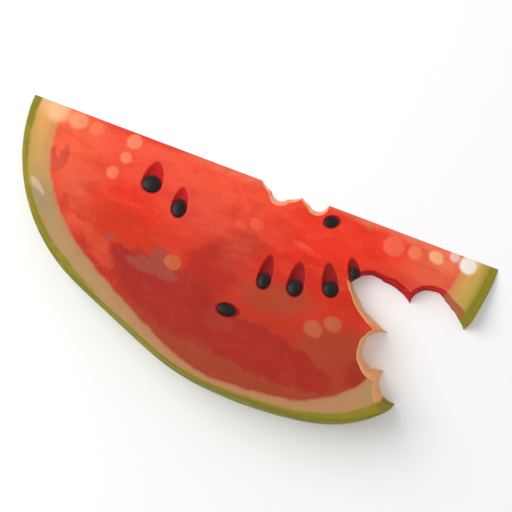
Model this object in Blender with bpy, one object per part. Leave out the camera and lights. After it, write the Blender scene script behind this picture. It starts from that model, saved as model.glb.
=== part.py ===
"""A wedge of watermelon, lying on one of its two cut faces, with bites taken out of it.

The wedge is a slice of a solid of revolution. The melon's long axis is the wedge's sharp edge, which
lies along X at the back (+Y) of the object. The rind is at the front (-Y). The lower cut face lies on
the ground plane, and the upper one rises from the sharp edge towards the rind.

Units are metres, +Z is up, and the origin is under the middle of the object.
"""

import math

import bmesh
import bpy
from mathutils import Vector

# --- Driving dimensions -------------------------------------------------------------------------

WEDGE_ANGLE = math.radians(18.0)

# The melon's half outline, as the distance from its middle at an angle round from the thick end.
MEAN_REACH = 0.1324
REACH_SWELLS = (0.0062, 0.0099, -0.0069, -0.0024, -0.0004, -0.0002, 0.0011, 0.0009)

OUTLINE_STEPS = 72
SPIN_STEPS = 4

# A bite is a chain of tooth marks. Each corner is a ridge between two marks, as (x, distance from the
# sharp edge) on the ground. Each mark is an arc between two corners, with the depth that it bulges past
# the straight line between them, and the lean of its wall, as widening per unit of height.
BIG_BITE = {
    "corners": (
        (0.1345, 0.0400), (0.1190, 0.0283), (0.1005, 0.0365), (0.0825, 0.0302),
        (0.0655, 0.0368), (0.0950, 0.0563), (0.1000, 0.0772), (0.1125, 0.0930),
    ),
    "bulges": (0.0010, 0.0068, 0.0016, 0.0036, 0.0030, 0.0136, 0.0051),
    "leans": (0.40, 0.40, 0.34, 0.34, 0.22, 0.18, 0.22),
    "way_out": ((0.1290, 0.0990), (0.1600, 0.0900), (0.1600, 0.0450)),
}
NIBBLE = {
    "corners": (
        (-0.0035, -0.0002), (0.0046, 0.0046), (0.0148, 0.0056),
        (0.0222, 0.0018), (0.0275, 0.0044), (0.0378, 0.0005),
    ),
    "bulges": (0.0006, 0.0030, 0.0004, 0.0003, 0.0036),
    "leans": (0.75, 0.75, 0.75, 0.80, 0.80),
    "way_out": ((0.0420, -0.0050), (-0.0080, -0.0050)),
}
MARK_STEPS = 9
SETTLING_ROUNDS = 12
CUT_MARGIN = 0.002

# Seeds of the two cut faces. Each row is x, distance from the sharp edge along the face, width, length,
# thickness, heading of the pointed end in degrees, and how far the pocket reaches past the seed's middle.
FRONT_SEEDS = (
    (-0.0602, 0.0259, 0.0106, 0.0104, 0.0034, 4.0, 0.0138),
    (-0.0409, 0.0336, 0.0078, 0.0112, 0.0034, 8.0, 0.0126),
    (0.0180, 0.0560, 0.0070, 0.0096, 0.0032, 4.0, 0.0158),
    (0.0356, 0.0534, 0.0084, 0.0102, 0.0034, 6.0, 0.0154),
    (0.0544, 0.0466, 0.0084, 0.0096, 0.0032, 22.0, 0.0150),
    (0.0642, 0.0331, 0.0058, 0.0072, 0.0026, 28.0, 0.0092),
    (0.0426, 0.0092, 0.0066, 0.0088, 0.0019, -55.0, 0.0056),
    (0.0044, 0.0794, 0.0068, 0.0106, 0.0030, -84.0, 0.0080),
)
FRONT_SEED_SINK = 0.0005
BACK_SEEDS = (
    (-0.0760, 0.0420, 0.0074, 0.0104, 0.0025, -6.0, 0.0110),
    (-0.0300, 0.0660, 0.0080, 0.0108, 0.0025, 10.0, 0.0115),
    (-0.0050, 0.0460, 0.0072, 0.0100, 0.0025, -12.0, 0.0110),
    (0.0260, 0.0780, 0.0078, 0.0106, 0.0025, 4.0, 0.0120),
    (-0.0520, 0.0850, 0.0070, 0.0100, 0.0025, 70.0, 0.0090),
)
BACK_SEED_SINK = 0.0015

# A pocket is wider and deeper than its seed, and its middle is a little nearer to the cut face.
POCKET_CLEARANCE = 0.00045
POCKET_EXTRA_DEPTH = 0.0009
POCKET_RISE = 0.0004
POCKET_TIP_NARROWING = 0.55
SEED_TIP_NARROWING = 0.30
SEED_SEGMENTS = 16
SEED_RINGS = 10
POCKET_SEGMENTS = 20
POCKET_RINGS = 12

SHARP_ANGLE = math.radians(35.0)


# --- The melon's outline ------------------------------------------------------------------------

def outline_point(turn):
    """Return (x, distance from the long axis) of the rind at an angle round from the thick end."""
    reach = MEAN_REACH
    for order, swell in enumerate(REACH_SWELLS, start=1):
        reach += swell * math.cos(order * turn)
    return reach * math.cos(turn), reach * math.sin(turn)


OUTLINE = [outline_point(math.pi * step / OUTLINE_STEPS) for step in range(OUTLINE_STEPS + 1)]
SHARP_EDGE_Y = max(depth for _, depth in OUTLINE) / 2.0


# --- Scene helpers ------------------------------------------------------------------------------

def clear_scene():
    """Remove whatever objects the file was opened with."""
    for leftover in list(bpy.data.objects):
        bpy.data.objects.remove(leftover, do_unlink=True)


def new_collection(name):
    """Add a collection to the scene."""
    collection = bpy.data.collections.new(name)
    bpy.context.scene.collection.children.link(collection)
    return collection


def new_material(name, colour, roughness):
    """Make a Principled material with a colour and a roughness."""
    material = bpy.data.materials.new(name)
    material.use_nodes = True
    shader = material.node_tree.nodes["Principled BSDF"]
    shader.inputs["Base Color"].default_value = (*colour, 1.0)
    shader.inputs["Roughness"].default_value = roughness
    shader.inputs["Metallic"].default_value = 0.0
    return material


def new_mesh_object(name, shape, collection, material=None):
    """Turn a bmesh into an object, with its faces pointing outwards."""
    bmesh.ops.recalc_face_normals(shape, faces=shape.faces)
    mesh = bpy.data.meshes.new(name)
    shape.to_mesh(mesh)
    shape.free()
    placed = bpy.data.objects.new(name, mesh)
    if material is not None:
        mesh.materials.append(material)
    collection.objects.link(placed)
    return placed


def mark_as_cutter(cutter):
    """Show a cutter as wire only, and keep it out of renders."""
    cutter.display_type = "WIRE"
    cutter.hide_render = True


def cut(target, cutter):
    """Take a cutter's shape out of an object."""
    mark_as_cutter(cutter)
    difference = target.modifiers.new(cutter.name, "BOOLEAN")
    difference.operation = "DIFFERENCE"
    difference.solver = "EXACT"
    difference.object = cutter


# --- The wedge ----------------------------------------------------------------------------------

def wedge_solid(collection, material):
    """Spin half of the melon's outline about its long axis, by the wedge's angle."""
    shape = bmesh.new()
    corners = [shape.verts.new((x, SHARP_EDGE_Y - depth, 0.0)) for x, depth in OUTLINE]
    half = shape.faces.new(corners)
    bmesh.ops.spin(
        shape,
        geom=[half, *half.edges, *half.verts],
        cent=(0.0, SHARP_EDGE_Y, 0.0),
        axis=(1.0, 0.0, 0.0),
        angle=-WEDGE_ANGLE,
        steps=SPIN_STEPS,
    )
    bmesh.ops.remove_doubles(shape, verts=shape.verts, dist=0.00001)
    wedge = new_mesh_object("melon_wedge", shape, collection, material)
    wedge.data.shade_smooth()
    wedge.data.set_sharp_from_angle(angle=SHARP_ANGLE)
    return wedge


# --- Bites --------------------------------------------------------------------------------------

def floor_height(depth):
    """Return the height of a bite cutter's underside, which is level."""
    return -CUT_MARGIN


def roof_height(depth):
    """Return the height of a bite cutter's top, which runs parallel to the upper cut face."""
    return depth * math.tan(WEDGE_ANGLE) + CUT_MARGIN


def arc_centre(start, end, bulge):
    """Return the centre and radius of the arc from start to end that bulges to the left of the way."""
    chord = end - start
    half = chord.length / 2.0
    radius = (half * half + bulge * bulge) / (2.0 * bulge)
    outwards = Vector((-chord.y, chord.x)).normalized()
    return (start + end) / 2.0 - outwards * (radius - bulge), radius


def wall_point(mark, turn, height_at):
    """Return where a tooth mark's leaning wall meets a cutter's underside or top, at an angle."""
    centre, radius, lean = mark
    direction = Vector((math.cos(turn), math.sin(turn)))
    point = centre + direction * radius
    for _ in range(SETTLING_ROUNDS):
        point = centre + direction * (radius + lean * height_at(point.y))
    return point


def ridge_point(mark_a, mark_b, corner, height_at):
    """Return where the leaning walls of two neighbouring tooth marks meet."""
    point = corner
    for _ in range(SETTLING_ROUNDS):
        height = height_at(point.y)
        (centre_a, radius_a, lean_a), (centre_b, radius_b, lean_b) = mark_a, mark_b
        point = crossing(centre_a, radius_a + lean_a * height, centre_b, radius_b + lean_b * height, point)
    return point


def crossing(centre_a, radius_a, centre_b, radius_b, near):
    """Return the point nearest to a given one where two circles cross."""
    between = centre_b - centre_a
    gap = between.length
    along = (gap * gap + radius_a * radius_a - radius_b * radius_b) / (2.0 * gap)
    across = math.sqrt(max(radius_a * radius_a - along * along, 0.0))
    forwards = between.normalized()
    foot = centre_a + forwards * along
    side = Vector((-forwards.y, forwards.x)) * across
    return min((foot + side, foot - side), key=lambda point: (point - near).length)


def turn_to(point, mark):
    """Return the angle at which a point is seen from a tooth mark's centre."""
    arm = point - mark[0]
    return math.atan2(arm.y, arm.x)


def bite_outline(bite, height_at):
    """Return the closed outline of a bite's underside or top, as (x, y, z) points."""
    corners = [Vector(corner) for corner in bite["corners"]]
    marks = [
        (*arc_centre(start, end, bulge), lean)
        for start, end, bulge, lean in zip(corners, corners[1:], bite["bulges"], bite["leans"])
    ]
    ridges = [wall_point(marks[0], turn_to(corners[0], marks[0]), height_at)]
    for mark_a, mark_b, corner in zip(marks, marks[1:], corners[1:]):
        ridges.append(ridge_point(mark_a, mark_b, corner, height_at))
    ridges.append(wall_point(marks[-1], turn_to(corners[-1], marks[-1]), height_at))

    outline = [ridges[0]]
    for mark, start, end in zip(marks, ridges, ridges[1:]):
        first = turn_to(start, mark)
        sweep = (turn_to(end, mark) - first) % -math.tau
        for step in range(1, MARK_STEPS):
            outline.append(wall_point(mark, first + sweep * step / MARK_STEPS, height_at))
        outline.append(end)
    outline.extend(Vector(point) for point in bite["way_out"])
    return [(point.x, SHARP_EDGE_Y - point.y, height_at(point.y)) for point in outline]


def bite_cutter(name, bite, collection):
    """Loft a bite's outline from just below the ground to just above the upper cut face."""
    shape = bmesh.new()
    underside = shape.faces.new([shape.verts.new(point) for point in bite_outline(bite, floor_height)])
    low_corners = [corner.co.copy() for corner in underside.verts]
    raised = bmesh.ops.extrude_face_region(shape, geom=[underside])
    lifted = [part for part in raised["geom"] if isinstance(part, bmesh.types.BMVert)]
    lifted.sort(key=lambda corner: min(range(len(low_corners)), key=lambda i: (low_corners[i] - corner.co).length))
    for corner, point in zip(lifted, bite_outline(bite, roof_height)):
        corner.co = point
    return new_mesh_object(name, shape, collection)


# --- Seeds and their pockets --------------------------------------------------------------------

def drop_shape(half_width, half_length, tip_reach, half_thickness, narrowing, segments, rings):
    """Return a flattened drop, round at -Y and drawn out to a narrower tip at +Y."""
    shape = bmesh.new()
    bmesh.ops.create_uvsphere(shape, u_segments=segments, v_segments=rings, radius=1.0)
    for corner in shape.verts:
        towards_tip = max(corner.co.y, 0.0)
        slimming = 1.0 - narrowing * towards_tip ** 2
        corner.co.x *= half_width * slimming
        corner.co.y *= tip_reach if corner.co.y > 0.0 else half_length
        corner.co.z *= half_thickness * slimming
    return shape


def cut_face_empty(name, tilt, collection):
    """Add an empty on the sharp edge, with its Z axis pointing out of a cut face."""
    face = bpy.data.objects.new(name, None)
    face.location = (0.0, SHARP_EDGE_Y, 0.0)
    face.rotation_euler.x = tilt
    collection.objects.link(face)
    return face


def place_on_face(item, face, location, heading):
    """Set an item into a cut face, turned to its heading."""
    item.parent = face
    item.location = location
    item.rotation_euler.z = heading


def add_seed(name, size, reach, face, location, heading, parts, cutters, wedge, material):
    """Lay one seed into a cut face, in a pocket that is drawn out past the seed's pointed end."""
    half_width, half_length, half_thickness = (extent / 2.0 for extent in size)
    pocket_shape = drop_shape(
        half_width + POCKET_CLEARANCE, half_length + POCKET_CLEARANCE, reach,
        half_thickness + POCKET_EXTRA_DEPTH, POCKET_TIP_NARROWING, POCKET_SEGMENTS, POCKET_RINGS,
    )
    pocket = new_mesh_object(f"pocket_of_{name}", pocket_shape, cutters)
    place_on_face(pocket, face, location + Vector((0.0, 0.0, POCKET_RISE)), heading)
    cut(wedge, pocket)

    seed_shape = drop_shape(
        half_width, half_length, half_length, half_thickness, SEED_TIP_NARROWING, SEED_SEGMENTS, SEED_RINGS,
    )
    seed = new_mesh_object(name, seed_shape, parts, material)
    seed.data.shade_smooth()
    place_on_face(seed, face, location, heading)


# --- The whole object ---------------------------------------------------------------------------

def build():
    """Model the wedge, bite it, and lay its seeds in."""
    clear_scene()
    parts = new_collection("watermelon_wedge")
    cutters = new_collection("watermelon_wedge_cutters")
    flesh = new_material("melon_flesh", (0.62, 0.07, 0.04), 0.35)
    seed_coat = new_material("seed_coat", (0.03, 0.02, 0.02), 0.25)

    wedge = wedge_solid(parts, flesh)
    cut(wedge, bite_cutter("big_bite", BIG_BITE, cutters))
    cut(wedge, bite_cutter("nibble", NIBBLE, cutters))

    upper_face = cut_face_empty("upper_cut_face", -WEDGE_ANGLE, parts)
    for number, (x, depth, *size, heading, reach) in enumerate(FRONT_SEEDS, start=1):
        location = Vector((x, -depth, -FRONT_SEED_SINK))
        add_seed(
            f"front_seed_{number}", size, reach, upper_face, location, math.radians(heading),
            parts, cutters, wedge, seed_coat,
        )
    lower_face = cut_face_empty("lower_cut_face", math.pi, parts)
    for number, (x, depth, *size, heading, reach) in enumerate(BACK_SEEDS, start=1):
        location = Vector((x, depth, -BACK_SEED_SINK))
        add_seed(
            f"back_seed_{number}", size, reach, lower_face, location, math.radians(heading) + math.pi,
            parts, cutters, wedge, seed_coat,
        )
    bpy.context.view_layer.update()


build()
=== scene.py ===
"""The looks of a bitten watermelon wedge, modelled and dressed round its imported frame.

The wedge is a slice of a solid of revolution whose long axis is the wedge's sharp edge. Two numbers say
where a point of it is: x along the sharp edge, and its distance from that edge inside the half plane
that goes through the edge and the point. The half plane's tilt above the ground is the third number.
"""

import logging
import math
from dataclasses import dataclass, field
from enum import Enum
from typing import Callable, Sequence, Union

import bpy
import numpy as np
from mathutils.geometry import delaunay_2d_cdt
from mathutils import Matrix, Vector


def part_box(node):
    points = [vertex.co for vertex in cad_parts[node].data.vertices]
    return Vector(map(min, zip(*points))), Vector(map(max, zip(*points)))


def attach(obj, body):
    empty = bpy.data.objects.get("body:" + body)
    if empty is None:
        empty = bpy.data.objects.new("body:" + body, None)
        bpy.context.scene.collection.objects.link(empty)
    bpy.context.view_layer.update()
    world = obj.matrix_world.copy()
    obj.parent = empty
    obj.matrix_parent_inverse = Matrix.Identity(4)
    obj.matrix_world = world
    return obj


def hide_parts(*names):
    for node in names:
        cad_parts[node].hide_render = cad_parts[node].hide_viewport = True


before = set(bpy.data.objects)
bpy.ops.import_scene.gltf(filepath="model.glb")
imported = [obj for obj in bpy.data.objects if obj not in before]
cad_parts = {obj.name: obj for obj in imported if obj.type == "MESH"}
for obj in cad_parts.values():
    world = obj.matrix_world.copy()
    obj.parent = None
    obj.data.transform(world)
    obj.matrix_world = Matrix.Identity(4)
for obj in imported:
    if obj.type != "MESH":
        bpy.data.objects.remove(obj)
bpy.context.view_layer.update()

LOG = logging.getLogger("watermelon_wedge")

Colour = tuple[float, float, float]
Socket = bpy.types.NodeSocket
Corner = tuple[float, float]
Array = np.ndarray
Pair = tuple[Array, Array]
MM = 0.001
LIGHT = 1.16
SHEEN = 0.015
DARKEST = 0.002
CHUNK = 2000
TINY = 1e-12
FINE_REACH = 0.022

RIND_WAVES = ((0.034, 0.00045, 3), (0.009, 0.00012, 4))
KNIFE_WAVES = ((0.021, 0.00035, 21), (0.0062, 0.00014, 22))
TORN_ALONG = ((0.0046, 0.00042, 11), (0.0019, 0.00017, 13))
TORN_ACROSS = ((0.0046, 0.00042, 12), (0.0019, 0.00017, 14))


def display_colour(*shares: int) -> Colour:
    """Turn the colour that a lit surface should show into the linear colour of its paint.

    The display's curve is undone, the surface's sheen is taken off, and the rest is divided by the light.

    Args:
        shares: Red, green and blue, 0 to 255.

    Returns:
        The linear red, green and blue.
    """
    curved = np.array(shares) / 255.0
    linear = np.where(curved <= 0.04045, curved / 12.92, ((curved + 0.055) / 1.055) ** 2.4)
    return tuple(float(share) for share in np.maximum((linear - SHEEN) / LIGHT, DARKEST))


def smooth_step(low: float, high: float, values: Array) -> Array:
    """Rise smoothly from 0 at low to 1 at high, by the cubic 3t² - 2t³, or fall if low is the higher."""
    share = np.clip((values - low) / (high - low), 0.0, 1.0)
    return share * share * (3.0 - 2.0 * share)


def lattice_noise(points: Array, size: float, seed: int) -> Array:
    """Give smooth noise that takes a random value at each corner of a cubic lattice.

    Between corners the eight nearest values are blended with smooth steps along each axis.

    Args:
        points: Rows of x, y, z.
        size: Edge of a lattice cell.
        seed: Picks one noise out of many.

    Returns:
        A value from -1 to 1 for each point.
    """
    mixers = np.array([374761393, 668265263, 2147483647])
    seed_mixer, scrambler, top = 1274126177, 1103515245, 0xFFFF
    scaled = points / size
    cell = np.floor(scaled).astype(np.int64)
    within = scaled - cell
    blend = within * within * (3.0 - 2.0 * within)
    total = np.zeros(len(points))
    for corner in range(8):
        step = np.array([corner & 1, corner >> 1 & 1, corner >> 2 & 1])
        key = (cell + step) @ mixers + seed * seed_mixer
        key = (key ^ (key >> 13)) * scrambler
        key = (key ^ (key >> 16)) & top
        weight = np.prod(np.where(step, blend, 1.0 - blend), axis=1)
        total += weight * (key / (top / 2.0) - 1.0)
    return total


def layered_noise(points: Array, *layers: tuple[float, float, int]) -> Array:
    """Add up noises, each given as the size of its cells, its height and its seed."""
    return sum(lattice_noise(points, size, seed) * height for size, height, seed in layers)


# --- Shader building ---

Number = Union["Signal", float]


def arithmetic(operation: str, swapped: bool = False) -> Callable[["Signal", Number], "Signal"]:
    """Make a method that works one step of arithmetic out between a signal and another number.

    Args:
        operation: The Math node's operation.
        swapped: Whether the signal comes second.

    Returns:
        The method.
    """
    def method(self: "Signal", other: Number) -> "Signal":
        """Work the step out."""
        return self.graph.math(operation, *((other, self) if swapped else (self, other)))

    return method


class Signal:
    """A shader value that can be used in Python arithmetic."""

    def __init__(self, graph: "ShaderGraph", socket: Socket) -> None:
        """Wrap a socket of a graph."""
        self.graph = graph
        self.socket = socket

    __add__ = __radd__ = arithmetic("ADD")
    __mul__ = __rmul__ = arithmetic("MULTIPLY")
    __sub__ = arithmetic("SUBTRACT")
    __rsub__ = arithmetic("SUBTRACT", swapped=True)

    def root(self) -> "Signal":
        """Take the square root."""
        return self.graph.math("SQRT", self)

    def size(self) -> "Signal":
        """Drop the sign."""
        return self.graph.math("ABSOLUTE", self)

    def step(self, low: float, high: float) -> "Signal":
        """Rise smoothly from 0 at low to 1 at high, or fall if low is the higher."""
        ends = {"Value": self, "From Min": min(low, high), "From Max": max(low, high)}
        node = self.graph.node("ShaderNodeMapRange", {"interpolation_type": "SMOOTHSTEP"}, ends)
        rising = Signal(self.graph, node.outputs["Result"])
        return rising if low < high else 1.0 - rising


class Paint:
    """A shader colour that other colours can be laid over."""

    def __init__(self, graph: "ShaderGraph", source: Union[Socket, Colour]) -> None:
        """Hold a colour socket of a graph, or one plain colour."""
        self.graph = graph
        self.source = source

    def over(self, colour: Union["Paint", Colour], mask: Number, blend: str = "MIX") -> "Paint":
        """Lay a colour over this one.

        Args:
            colour: The colour to lay on.
            mask: How much of it shows, from 0 to 1.
            blend: The Mix node's blend type.

        Returns:
            The blended colour.
        """
        top = colour.source if isinstance(colour, Paint) else colour
        settings = {"data_type": "RGBA", "blend_type": blend, "clamp_factor": True}
        node = self.graph.node("ShaderNodeMix", settings, {0: mask, 6: self.source, 7: top})
        return Paint(self.graph, node.outputs[2])

    def coats(self, *coats: tuple[int, int, int, Number]) -> "Paint":
        """Lay coats over this colour, first to last.

        Args:
            coats: Red, green and blue that a coat should show, 0 to 255, and how much of it shows.

        Returns:
            The blended colour.
        """
        paint = self
        for *shares, mask in coats:
            paint = paint.over(display_colour(*shares), mask)
        return paint


class ShaderGraph:
    """The node tree of one material."""

    def __init__(self, name: str) -> None:
        """Start a material with a Principled shader and its output."""
        self.material = bpy.data.materials.new(name)
        self.material.use_nodes = True
        self.tree = self.material.node_tree
        self.shader = self.tree.nodes["Principled BSDF"]
        place = self.node("ShaderNodeTexCoord")
        self.position = place.outputs["Object"]
        split = self.node("ShaderNodeSeparateXYZ", {}, {"Vector": self.position})
        self.x, self.y, self.z = (Signal(self, split.outputs[axis]) for axis in "XYZ")

    def node(self, kind: str, settings: dict | None = None, inputs: dict | None = None) -> bpy.types.Node:
        """Add a node, set it up and feed its sockets.

        Args:
            kind: The node's type name.
            settings: Attributes of the node, set before its sockets are fed.
            inputs: Socket name or number to a value, a socket, a Signal or a Paint.

        Returns:
            The new node.
        """
        added = self.tree.nodes.new(kind)
        for name, setting in (settings or {}).items():
            setattr(added, name, setting)
        for key, value in (inputs or {}).items():
            self.feed(added.inputs[key], value)
        return added

    def feed(self, socket: Socket, value: object) -> None:
        """Link a socket to a source, or set its own value."""
        if isinstance(value, Signal):
            value = value.socket
        if isinstance(value, Paint):
            value = value.source
        if isinstance(value, Socket):
            self.tree.links.new(value, socket)
        elif isinstance(value, tuple) and socket.type == "RGBA":
            socket.default_value = (*value, 1.0)
        else:
            socket.default_value = value

    def math(self, operation: str, *operands: Number) -> Signal:
        """Work out one step of arithmetic."""
        step = self.node("ShaderNodeMath", {"operation": operation}, dict(enumerate(operands)))
        return Signal(self, step.outputs[0])

    def attribute(self, name: str) -> Signal:
        """Read a number that the mesh carries at each point."""
        return Signal(self, self.node("ShaderNodeAttribute", {"attribute_name": name}).outputs["Fac"])

    def paint(self, *shares: int) -> Paint:
        """Start from the red, green and blue that a paint should show, 0 to 255."""
        return Paint(self, display_colour(*shares))

    def noise(self, size: float, detail: float, roughness: float, scale: Colour = (1.0, 1.0, 1.0)) -> Signal:
        """Make lumpy noise.

        Args:
            size: Size of the lumps, in metres.
            detail: Octaves of finer noise on top.
            roughness: Share that each octave keeps.
            scale: Factor on each axis, below 1 to stretch the lumps along it.

        Returns:
            The noise, from 0 to 1.
        """
        mapped = self.node("ShaderNodeMapping", {}, {"Vector": self.position, "Scale": scale})
        place = mapped.outputs["Vector"]
        inputs = {"Vector": place, "Scale": 1.0 / size, "Detail": detail, "Roughness": roughness}
        return Signal(self, self.node("ShaderNodeTexNoise", {}, inputs).outputs["Fac"])

    def cells(self, size: float) -> Signal:
        """Return the distance to the nearest of scattered cells, in cell sizes."""
        scatter = self.node("ShaderNodeTexVoronoi", {}, {"Vector": self.position, "Scale": 1.0 / size})
        return Signal(self, scatter.outputs["Distance"])

    def bump(self, height: Signal, strength: float, distance: float) -> Socket:
        """Turn a height, in units of the distance in metres, into a normal."""
        inputs = {"Height": height, "Strength": strength, "Distance": distance}
        return self.node("ShaderNodeBump", {}, inputs).outputs["Normal"]

    def finish(self, **sockets: object) -> bpy.types.Material:
        """Feed the Principled shader's sockets, with underscores for spaces, and return the material."""
        for name, value in sockets.items():
            self.feed(self.shader.inputs[name.replace("_", " ")], value)
        return self.material


# --- The melon ---


@dataclass(frozen=True)
class Melon:
    """The whole melon that the wedge was cut from: a solid of revolution about its long axis.

    Its reach is the rind's distance from the middle: a mean plus one cosine for each swell, of one, two,
    three and more waves to the full turn. The rind's and the olive line's widths are in millimetres, at
    angles in degrees from the thick end.
    """

    mean_reach: float = 0.1324
    swells: tuple[float, ...] = (0.0062, 0.0099, -0.0069, -0.0024, -0.0004, -0.0002, 0.0011, 0.0009)
    rind_widths: tuple[Corner, ...] = (
        (0, 19.5), (30, 22.0), (44, 20.5), (52, 15.3), (63, 8.2), (73, 5.9), (87, 3.4), (103, 6.6),
        (115, 8.4), (129, 11.8), (145, 15.2), (165, 15.4), (180, 18.6),
    )
    olive_widths: tuple[Corner, ...] = (
        (0, 5.0), (16, 5.8), (38, 7.6), (46, 6.4), (52, 4.8), (64, 2.8), (90, 0.8), (120, 1.4), (135, 4.0),
        (148, 3.8), (160, 2.8), (180, 4.4),
    )

    @property
    def orders(self) -> Array:
        """Waves to the full turn of each swell."""
        return np.arange(1, len(self.swells) + 1)

    def reach(self, turn: Array) -> Array:
        """Give the rind's distance from the melon's middle at angles from the thick end."""
        return self.mean_reach + np.cos(np.multiply.outer(turn, self.orders)) @ np.array(self.swells)

    def reach_slope(self, turn: Array) -> Array:
        """Give how fast the reach changes with the angle."""
        return -np.sin(np.multiply.outer(turn, self.orders)) @ (self.orders * np.array(self.swells))

    def outline(self, turn: Array) -> Pair:
        """Give x and the distance from the long axis of the rind at each angle."""
        reach = self.reach(turn)
        return reach * np.cos(turn), reach * np.sin(turn)

    def skin_depth(self, x: Array, radius: Array) -> Array:
        """Give how deep under the rind points lie.

        The gap along the ray from the melon's middle is shortened by the slant between that ray and
        the rind.

        Args:
            x: Places along the long axis.
            radius: Distances from the long axis.

        Returns:
            The depths, in metres.
        """
        turn = np.arctan2(radius, x)
        reach = self.reach(turn)
        slant = reach / np.hypot(reach, self.reach_slope(turn))
        return (reach - np.hypot(x, radius)) * slant

    def width_at(self, x: Array, radius: Array, widths: Sequence[Corner]) -> Array:
        """Give the rind's or the olive line's width in metres where points lie, between its known widths."""
        return np.interp(np.degrees(np.arctan2(radius, x)), *np.transpose(widths)) * MM


# --- Bites ---




@dataclass(frozen=True)
class ToothMark:
    """A leaning, round wall left by teeth: a cone that widens upwards."""

    x: float
    depth: float
    radius: float
    lean: float

    def wall(self, turn: Array, tilt: Array) -> Pair:
        """Give where the cone meets a half plane through the sharp edge.

        The half plane's height is its depth times the tangent of its tilt. Put into the cone's radius,
        that gives the depth in closed form.

        Args:
            turn: Angle round the cone.
            tilt: The half plane's tilt.

        Returns:
            x, and the level distance from the sharp edge.
        """
        rise = np.tan(tilt)
        depth = (self.depth + self.radius * np.sin(turn)) / (1.0 - self.lean * rise * np.sin(turn))
        return self.x + self.radius_at(depth * rise) * np.cos(turn), depth

    def radius_at(self, height: Array) -> Array:
        """Give the cone's radius at a height."""
        return self.radius + self.lean * height

    def turn_of(self, x: Array, depth: Array) -> Array:
        """Give the angle at which a point is seen from the cone's axis."""
        return np.arctan2(depth - self.depth, x - self.x)


def ridge_between(first: ToothMark, second: ToothMark, tilt: Array, near: Corner) -> Pair:
    """Find where two neighbouring tooth marks meet, in each half plane.

    At a given height both are circles, which cross on the line at right angles to the one between their
    middles. The height follows from the crossing's own depth, so the two are settled in turns.

    Args:
        first: One mark.
        second: The other.
        tilt: The half planes' tilts.
        near: x and depth that the wanted crossing is nearest to.

    Returns:
        x and depth of the ridge in each half plane.
    """
    x = np.full_like(tilt, near[0])
    depth = np.full_like(tilt, near[1])
    gap_x, gap_depth = second.x - first.x, second.depth - first.depth
    gap = math.hypot(gap_x, gap_depth)
    gap_x, gap_depth = gap_x / gap, gap_depth / gap
    for _ in range(16):
        height = depth * np.tan(tilt)
        radius_a, radius_b = first.radius_at(height), second.radius_at(height)
        along = (gap * gap + radius_a**2 - radius_b**2) / (2.0 * gap)
        across = np.sqrt(np.maximum(radius_a**2 - along**2, 0.0))
        side = np.sign((x - first.x) * -gap_depth + (depth - first.depth) * gap_x)
        x = first.x + along * gap_x - side * across * gap_depth
        depth = first.depth + along * gap_depth + side * across * gap_x
    return x, depth


def exit_through_rind(mark: ToothMark, melon: Melon, tilt: Array, inside: float, outside: float) -> Array:
    """Find the angle round the melon at which a tooth mark breaks out through the rind.

    The stretch between an angle inside the mark and one outside it is halved until it is tiny.

    Args:
        mark: The tooth mark.
        melon: The melon.
        tilt: The half planes' tilts.
        inside: An angle from the thick end at which the rind is bitten away.
        outside: An angle at which it isn't.

    Returns:
        The angle in each half plane.
    """
    bitten = np.full_like(tilt, inside)
    whole = np.full_like(tilt, outside)
    for _ in range(40):
        middle = (bitten + whole) / 2.0
        x, radius = melon.outline(middle)
        from_axis = np.hypot(x - mark.x, radius * np.cos(tilt) - mark.depth)
        is_bitten = from_axis < mark.radius_at(radius * np.sin(tilt))
        bitten = np.where(is_bitten, middle, bitten)
        whole = np.where(is_bitten, whole, middle)
    return (bitten + whole) / 2.0


def mark_from_arc(start: Corner, end: Corner, bulge: float, lean: float) -> ToothMark:
    """Make a tooth mark from an arc on the ground that bulges to the left of the way from start to end."""
    chord = np.subtract(end, start)
    half = np.hypot(*chord) / 2.0
    radius = (half * half + bulge * bulge) / (2.0 * bulge)
    outwards = np.array([-chord[1], chord[0]]) / (2.0 * half)
    middle = np.add(start, end) / 2.0 - outwards * (radius - bulge)
    return ToothMark(float(middle[0]), float(middle[1]), float(radius), lean)


class Stretch(Enum):
    """What one stretch of the wedge's outline is."""

    SKIN = 0
    # The two bite kinds are bitten walls painted as lit, and bitten walls painted as shaded.
    LIT_BITE = 1
    SHADED_BITE = 2
    SHARP_EDGE = 3


@dataclass
class OutlineStretch:
    """One stretch of the outline, as a grid of half planes by places along the stretch."""

    kind: Stretch
    x: Array
    radius: Array


# --- The wedge ---


@dataclass(frozen=True)
class SeedPlace:
    """Where a seed lies in a cut face, and its size. The heading is its pointed end's, in degrees."""

    node: str
    width: float
    length: float
    thickness: float
    heading: float
    pocket_reach: float


def seed_places(side: str, *sizes: tuple[float, ...]) -> list[SeedPlace]:
    """Number the seeds of one side, each with its sizes, heading and pocket's reach."""
    return [SeedPlace(f"{side}_seed_{number}", *rest) for number, rest in enumerate(sizes, 1)]


FRONT_SEEDS = seed_places(
    "front",
    (0.0106, 0.0104, 0.0034, 4.0, 0.0138), (0.0078, 0.0112, 0.0034, 8.0, 0.0126),
    (0.0070, 0.0096, 0.0032, 4.0, 0.0158), (0.0084, 0.0102, 0.0034, 6.0, 0.0154),
    (0.0084, 0.0096, 0.0032, 22.0, 0.0150), (0.0058, 0.0072, 0.0026, 28.0, 0.0092),
    (0.0066, 0.0088, 0.0019, -55.0, 0.0056), (0.0068, 0.0106, 0.0030, -84.0, 0.0080),
)
BACK_SEEDS = seed_places(
    "back",
    (0.0074, 0.0104, 0.0025, -6.0, 0.0110), (0.0080, 0.0108, 0.0025, 10.0, 0.0115),
    (0.0072, 0.0100, 0.0025, -12.0, 0.0110), (0.0078, 0.0106, 0.0025, 4.0, 0.0120),
    (0.0070, 0.0100, 0.0025, 70.0, 0.0090),
)


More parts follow.
